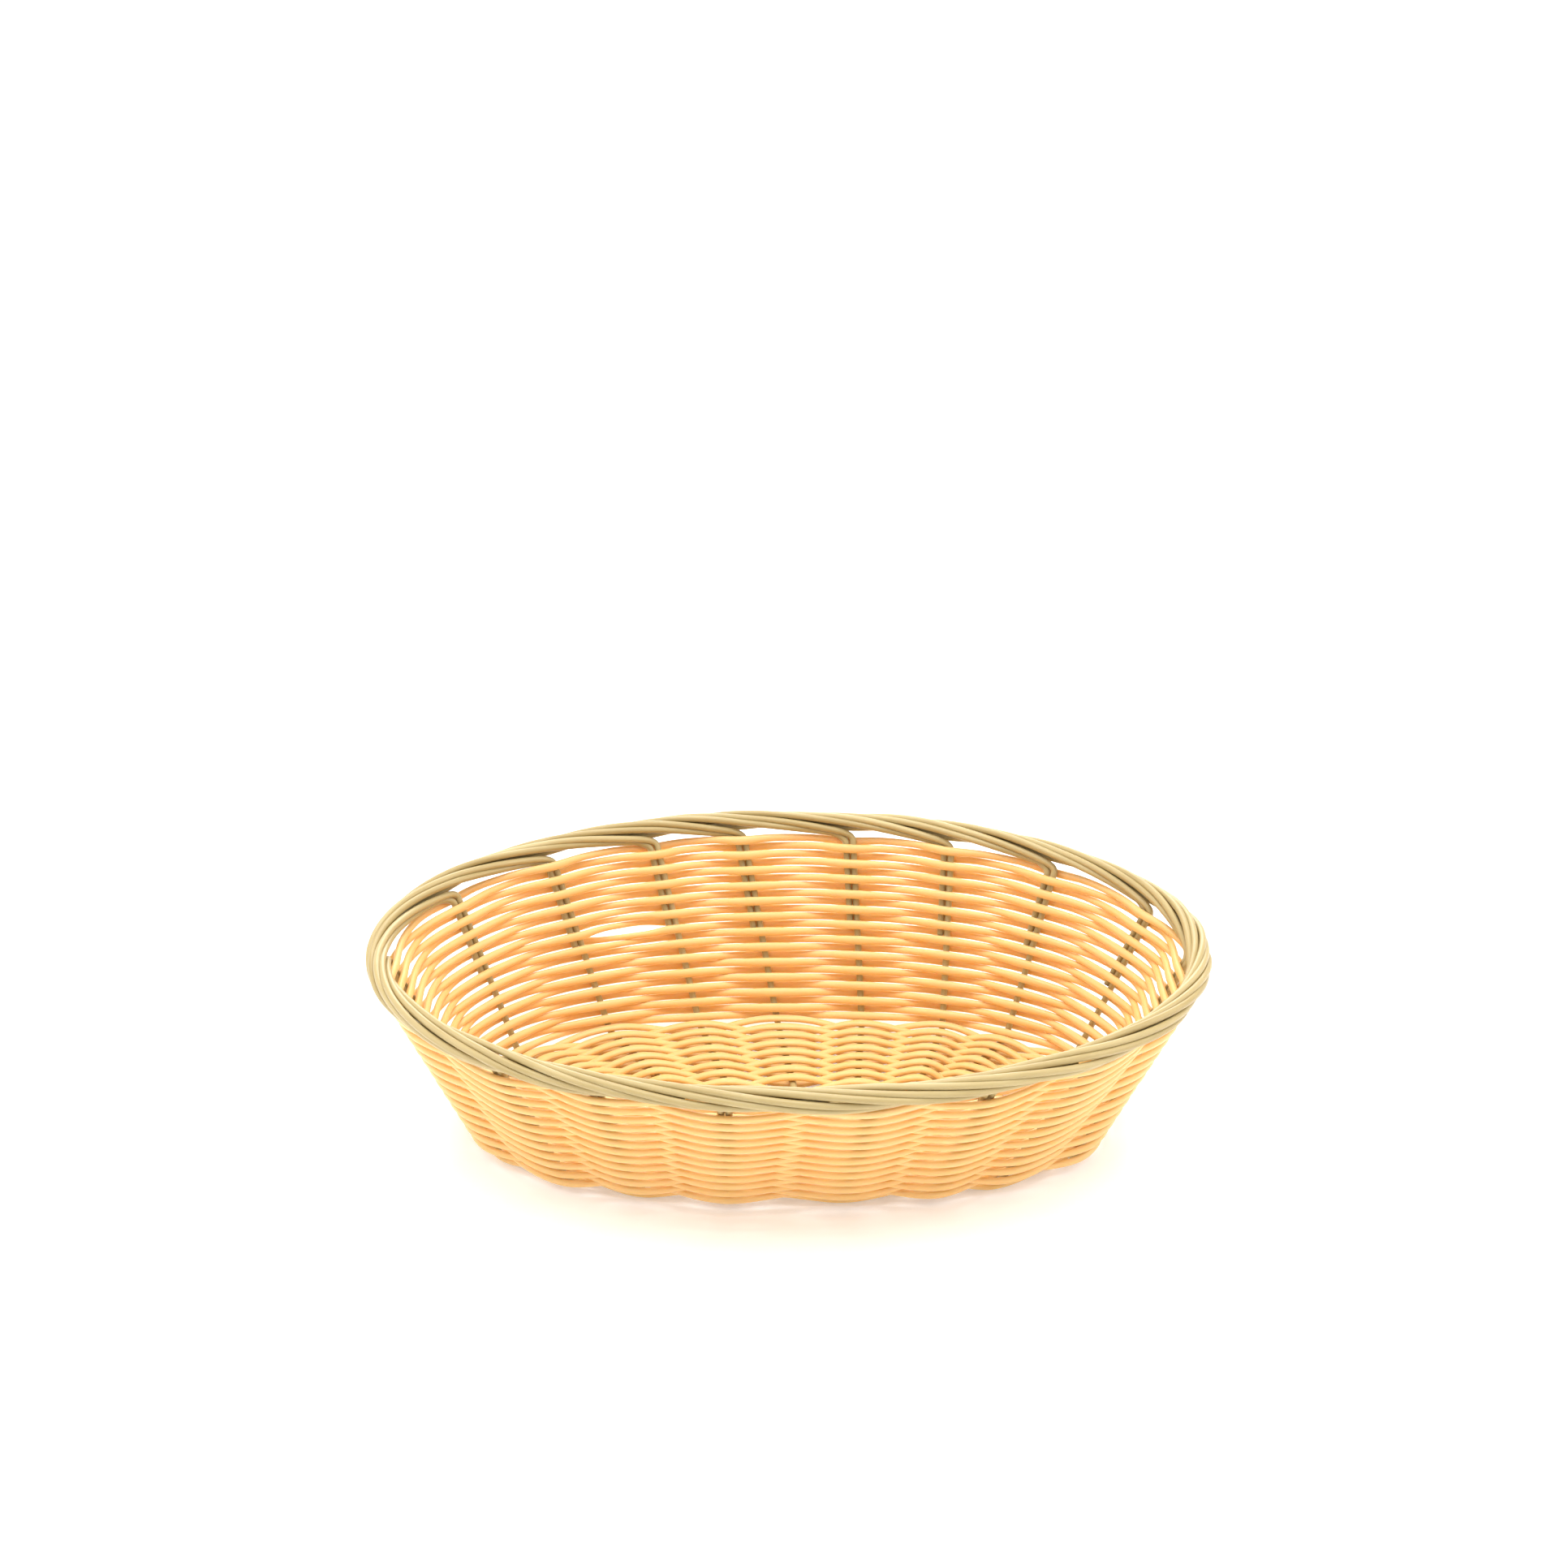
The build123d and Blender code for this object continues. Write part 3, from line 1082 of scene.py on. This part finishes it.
    def bye_stake(self, end: int) -> Skin:
        """A bye-stake from within the wall into the border.

        Args:
            end: Number of the stake end that it stands beside.

        Returns:
            The bye-stake's skin.
        """
        form = self.form
        here = np.array([float(end)])
        below_first = form.wall_rows - form.bye_rows - 0.5
        low = form.row_line(Zone.WALL, below_first, here) + form.beside()[end]
        border = self.border(end, RodKind.BYE_STAKE)
        share = np.linspace(*self.bye_share, self.bye_points)[:, None]
        return self.skin(np.concatenate((low + (border[0] - low) * share, border)))

    def build(self, placer: Placer) -> None:
        """Make, dress and place every stake and bye-stake.

        Args:
            placer: What places the pieces.
        """
        material = self.finish.material()
        form = self.form
        for number, (back, front, _) in enumerate(form.cross, start=1):
            placer.place(self.stake((back, front)), f"cross_stake_{number}", self.finish, material)
        for number, ends in enumerate(form.long, start=1):
            placer.place(self.stake(ends), f"long_stake_{number}", self.finish, material)
        groups = {
            "back": [back for back, _, _ in form.cross],
            "front": [front for _, front, _ in form.cross],
            "right": [right for right, _ in form.long],
            "left": [left for _, left in form.long],
        }
        for side, ends in groups.items():
            whole = reduce(Skin.joined, [self.bye_stake(end) for end in ends])
            placer.place(whole, f"bye_stakes_{side}", self.finish, material)


@dataclass(frozen=True)
class Lamp:
    """A square soft light.

    Attributes:
        name: Name of the light.
        place: Where it hangs, in metres.
        size: Its width, in metres.
        power: Its power, in watts.
    """

    name: str
    place: tuple[float, float, float]
    size: float
    power: float

    def hang(self, aim: Vector) -> None:
        """Hang the light.

        Args:
            aim: The point that it faces.
        """
        light = bpy.data.lights.new(self.name, "AREA")
        light.size = self.size
        light.energy = self.power
        holder = bpy.data.objects.new(self.name, light)
        place = Vector(self.place)
        holder.matrix_world = Matrix.LocRotScale(place, (aim - place).to_track_quat("-Z", "Y"), None)
        bpy.context.collection.objects.link(holder)


@dataclass(frozen=True)
class Studio:
    """A plain pale floor, soft lights and the camera.

    Attributes:
        elevation: How far the camera looks down, in degrees.
        distance: From the camera to the point it looks at, in metres.
        aim_height: Height of that point, in metres.
        lens: Focal length on the sensor, in millimetres.
        sensor: Width of the sensor, in millimetres.
        shift: The frame's shift to the side and up, as shares of its width.
        clip: The nearest and farthest that the camera sees, in metres.
        floor_half: Half the width of the floor, in metres.
        floor_colour: Colour of the floor.
        floor_roughness: Roughness of the floor.
        floor_glow: Light that comes up through the floor, as on a light table.
        sky: Strength of the light from all round.
        lamps: The lights.
    """

    elevation: float = 33.0
    distance: float = 0.668
    aim_height: float = 0.0267
    lens: float = 55.3
    sensor: float = 36.0
    shift: tuple[float, float] = (-0.0032, 0.1594)
    clip: tuple[float, float] = (0.01, 20.0)
    floor_half: float = 3.0
    floor_colour: tuple[float, float, float] = (0.95, 0.95, 0.95)
    floor_roughness: float = 0.9
    floor_glow: float = 0.18
    sky: float = 0.82
    lamps: tuple[Lamp, ...] = (
        Lamp("top", (0.0, -0.05, 1.2), 1.0, 12.5),
        Lamp("left", (-1.1, 0.0, 0.7), 0.8, 5.0),
        Lamp("right", (1.1, 0.0, 0.7), 0.8, 5.0),
        Lamp("back", (0.0, 1.2, 0.6), 0.8, 9.0),
    )

    @property
    def aim(self) -> Vector:
        """The point that the camera and the lights face."""
        return Vector((0, 0, self.aim_height))

    def floor(self) -> None:
        """Lay the floor."""
        half = self.floor_half
        mesh = bpy.data.meshes.new("studio_floor")
        corners = [(-half, -half, 0), (half, -half, 0), (half, half, 0), (-half, half, 0)]
        mesh.from_pydata(corners, [], [(0, 1, 2, 3)])
        sheet = bpy.data.objects.new("studio_floor", mesh)
        bpy.context.collection.objects.link(sheet)
        paint = bpy.data.materials.new("studio_paper")
        paint.use_nodes = True
        shader = paint.node_tree.nodes["Principled BSDF"]
        shader.inputs["Base Color"].default_value = (*self.floor_colour, 1.0)
        shader.inputs["Roughness"].default_value = self.floor_roughness
        shader.inputs["Emission Color"].default_value = (1.0, 1.0, 1.0, 1.0)
        shader.inputs["Emission Strength"].default_value = self.floor_glow
        mesh.materials.append(paint)

    def world(self) -> None:
        """Light the scene evenly from all round."""
        world = bpy.data.worlds.new("studio")
        world.use_nodes = True
        background = world.node_tree.nodes["Background"]
        background.inputs["Color"].default_value = (1.0, 1.0, 1.0, 1.0)
        background.inputs["Strength"].default_value = self.sky
        bpy.context.scene.world = world
        bpy.context.scene.view_settings.view_transform = "Standard"

    def camera(self) -> None:
        """Set up the camera, in front of the basket."""
        lens = bpy.data.cameras.new("camera")
        lens.lens = self.lens
        lens.sensor_width = self.sensor
        lens.shift_x, lens.shift_y = self.shift
        lens.clip_start, lens.clip_end = self.clip
        holder = bpy.data.objects.new("camera", lens)
        tilt = radians(self.elevation)
        place = self.aim + Vector((0, -cos(tilt), sin(tilt))) * self.distance
        holder.matrix_world = Matrix.LocRotScale(place, (self.aim - place).to_track_quat("-Z", "Y"), None)
        bpy.context.collection.objects.link(holder)
        bpy.context.scene.camera = holder

    def build(self) -> None:
        """Set the whole studio up."""
        self.floor()
        self.world()
        for lamp in self.lamps:
            lamp.hang(self.aim)
        self.camera()
        LOG.info("studio set up with %d lights", len(self.lamps))


def main() -> None:
    """Load the frame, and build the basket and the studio."""
    logging.basicConfig(level=logging.INFO, format="%(message)s")
    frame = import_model()
    form = Form()
    mesh = RodMesh()
    honey = CaneFinish(
        "weaver", pale=(0.84, 0.545, 0.23), deep=(0.80, 0.49, 0.165), glow=0.80, roughness=(0.32, 0.45))
    straw = CaneFinish(
        "rod", pale=(0.57, 0.455, 0.225), deep=(0.33, 0.225, 0.07), glow=0.30, roughness=(0.30, 0.42))
    placer = Placer(np.random.default_rng(7))
    Weaving(form, mesh, honey).build(placer)
    Uprights(form, mesh, straw).build(placer)
    LOG.info("%d pieces for %d CAD nodes", placer.count, len(frame["nodes"]))
    Studio().build()


if __name__ == "__main__":
    main()
